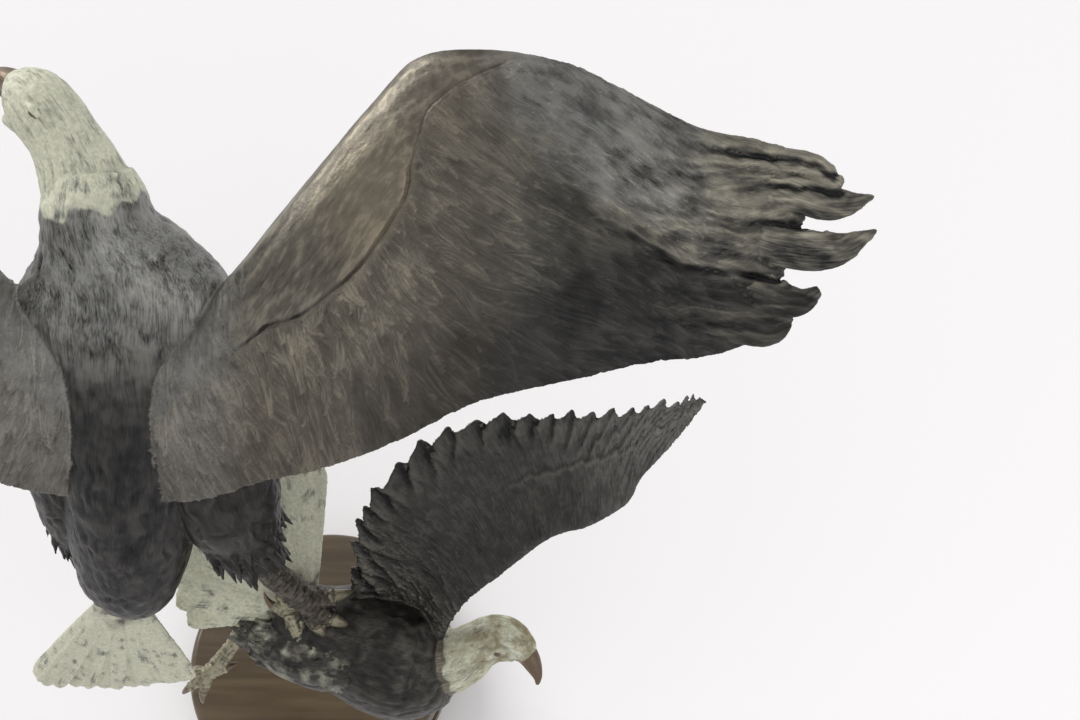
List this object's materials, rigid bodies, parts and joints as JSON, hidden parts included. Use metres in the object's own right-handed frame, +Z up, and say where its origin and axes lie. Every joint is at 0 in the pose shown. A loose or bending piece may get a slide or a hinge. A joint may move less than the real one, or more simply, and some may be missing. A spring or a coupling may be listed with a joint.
{
  "type": "bronze eagle sculpture",
  "caption": "Cast bronze group of two fighting eagles, one gripping the other from above, standing by a wing on a round turned wooden plinth.",
  "frame": {"origin": "centre of the plinth's underside", "axes": "+Z up through the plinth's centre, +X towards the lower eagle's head, -Y towards the viewer"},
  "size_m": [0.7185, 0.2552, 0.5857],
  "materials": {
    "patinated_bronze": "dark brown and blue-black patina, pale green-white on heads and tails",
    "lacquered_walnut": "dark stain under gloss lacquer"
  },
  "bodies": {
    "root": {"eagle_group": "patinated_bronze", "plinth": "lacquered_walnut"}
  },
  "joints": []
}
